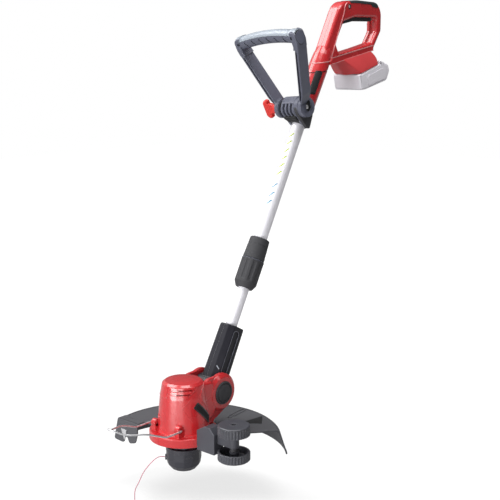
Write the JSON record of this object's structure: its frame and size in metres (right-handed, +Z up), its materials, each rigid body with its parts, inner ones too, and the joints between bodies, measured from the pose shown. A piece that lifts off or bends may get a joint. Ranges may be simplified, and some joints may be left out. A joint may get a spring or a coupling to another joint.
{
  "type": "cordless string trimmer",
  "caption": "Cordless string trimmer with telescopic shaft, adjustable front handle, tilting cutting head, guard, wire plant guard and edging wheels.",
  "frame": {"origin": "middle of the rear grip, on the mid-plane between the housing halves, where the trigger hand holds it", "axes": "+Z up as held, -Y forwards towards the cutting head, +X to the user's left (the wheel side)"},
  "size_m": [0.3538, 0.8235, 1.0012],
  "materials": {
    "gloss_red_plastic": "glossy moulded red plastic",
    "black_plastic": "fine-grained black plastic",
    "guard_plastic": "dark grey moulded plastic",
    "grey_blue_plastic": "smooth grey-blue plastic",
    "soft_grip": "soft dark grip rubber",
    "tube_aluminium": "bright anodised aluminium tube",
    "bright_steel": "bright plated steel",
    "pale_grey_plastic": "pale grey battery case plastic",
    "nylon_line": "dull pink-red nylon line",
    "copper": "copper-coloured cell wraps"
  },
  "bodies": {
    "handle": {"rear_housing_left": "gloss_red_plastic", "rear_housing_right": "gloss_red_plastic", "grip_overmould": "soft_grip", "rear_housing_screw_1": "bright_steel", "rear_housing_screw_2": "bright_steel", "rear_housing_screw_3": "bright_steel", "switch_module": "black_plastic", "terminal_block": "black_plastic", "socket_badge": "black_plastic", "upper_tube": "tube_aluminium", "tube_collar": "black_plastic", "collet": "black_plastic", "hub_front": "grey_blue_plastic", "hub_back": "grey_blue_plastic", "hub_screw_1": "bright_steel", "hub_screw_2": "bright_steel"},
    "trigger": {"trigger": "soft_grip"},
    "lock_off": {"lock_off_button": "soft_grip"},
    "battery": {"battery_case_upper": "pale_grey_plastic", "battery_case_lower": "pale_grey_plastic", "battery_cells": "copper"},
    "battery_latch": {"battery_latch": "black_plastic"},
    "front_handle": {"arm_left": "grey_blue_plastic", "arm_right": "grey_blue_plastic", "front_grip_upper": "grey_blue_plastic", "front_grip_lower": "grey_blue_plastic", "front_grip_screw_1": "bright_steel", "front_grip_screw_2": "bright_steel", "clamp_bolt": "bright_steel"},
    "clamp_knob": {"clamp_knob": "gloss_red_plastic"},
    "lock_sleeve": {"lock_sleeve": "black_plastic"},
    "telescope": {"guide_plug": "black_plastic"},
    "lower_shaft": {"lower_tube": "tube_aluminium", "neck_left": "black_plastic", "neck_right": "black_plastic", "neck_screw": "bright_steel", "pivot_pin": "bright_steel"},
    "head": {"motor_housing_left": "gloss_red_plastic", "motor_housing_right": "gloss_red_plastic", "motor_housing_screw_1": "bright_steel", "motor_housing_screw_2": "bright_steel", "motor_can": "bright_steel", "guard": "guard_plastic", "guard_screw_1": "bright_steel", "guard_screw_2": "bright_steel", "line_cutter_blade": "bright_steel", "wheel_bracket": "guard_plastic", "wheel_axle": "bright_steel", "head_badge": "black_plastic", "pivot_cap": "black_plastic"},
    "pivot_button": {"pivot_button": "black_plastic"},
    "spool": {"motor_shaft": "bright_steel", "spool_holder": "black_plastic", "spool_cap": "black_plastic", "line_bobbin": "nylon_line", "line_eyelet": "bright_steel", "cutting_line": "nylon_line"},
    "wheel_upper": {"upper_wheel": "grey_blue_plastic"},
    "wheel_lower": {"lower_wheel": "grey_blue_plastic"},
    "wire_guard": {"wire_guard": "bright_steel"}
  },
  "joints": [
    {"name": "trigger_pull", "type": "hinge", "parent": "handle", "child": "trigger", "pos_m": [0, -0.06, -0.006], "axis": [1, 0, 0], "range_deg": [0, 5], "stiffness_Nm_per_rad": 1.5, "springref_deg": -5.73},
    {"name": "lock_off_press", "type": "slide", "parent": "handle", "child": "lock_off", "axis": [1, 0, 0], "range_m": [0, 0.003], "stiffness_N_per_m": 400, "springref_m": -0.002},
    {"name": "battery_slide", "type": "slide", "parent": "handle", "child": "battery", "axis": [0, 0.9583, 0.2857], "range_m": [0, 0.11]},
    {"name": "battery_latch_press", "type": "slide", "parent": "battery", "child": "battery_latch", "axis": [0, -0.9558, 0.2939], "range_m": [0, 0.003], "stiffness_N_per_m": 500, "springref_m": -0.002},
    {"name": "front_handle_tilt", "type": "hinge", "parent": "handle", "child": "front_handle", "pos_m": [-0.0039, -0.21428, -0.20651], "axis": [0.989, -0.1301, 0.0702], "range_deg": [-35, 60]},
    {"name": "clamp_knob_turn", "type": "hinge", "parent": "front_handle", "child": "clamp_knob", "pos_m": [-0.0039, -0.21428, -0.20651], "axis": [0.989, -0.1301, 0.0702], "range_deg": [0, 360]},
    {"name": "sleeve_turn", "type": "hinge", "parent": "handle", "child": "lock_sleeve", "pos_m": [0, -0.48001, -0.75399], "axis": [0, 0.4749, 0.8801], "range_deg": [0, 90]},
    {"name": "telescope_slide", "type": "slide", "parent": "handle", "child": "telescope", "axis": [0, -0.4749, -0.8801], "range_m": [-0.075, 0.13]},
    {"name": "shaft_turn", "type": "hinge", "parent": "telescope", "child": "lower_shaft", "pos_m": [0, -0.48001, -0.75399], "axis": [0, 0.4749, 0.8801], "range_deg": [0, 180]},
    {"name": "head_tilt", "type": "hinge", "parent": "lower_shaft", "child": "head", "pos_m": [0, -0.48001, -0.75399], "axis": [1, 0, 0], "range_deg": [-15, 50]},
    {"name": "pivot_button_press", "type": "slide", "parent": "head", "child": "pivot_button", "axis": [-1, 0, 0], "range_m": [0, 0.004], "stiffness_N_per_m": 800, "springref_m": -0.003},
    {"name": "spool_spin", "type": "hinge", "parent": "head", "child": "spool", "pos_m": [0, -0.55501, -0.85], "axis": [0, 0, 1], "continuous": true},
    {"name": "upper_wheel_spin", "type": "hinge", "parent": "head", "child": "wheel_upper", "pos_m": [0.14, -0.56201, -0.78], "axis": [0, 0, 1], "continuous": true},
    {"name": "lower_wheel_spin", "type": "hinge", "parent": "head", "child": "wheel_lower", "pos_m": [0.14, -0.56201, -0.83], "axis": [0, 0, 1], "continuous": true},
    {"name": "wire_guard_fold", "type": "hinge", "parent": "head", "child": "wire_guard", "pos_m": [0, -0.59901, -0.79899], "axis": [1, 0, 0], "range_deg": [-70, 0]}
  ]
}
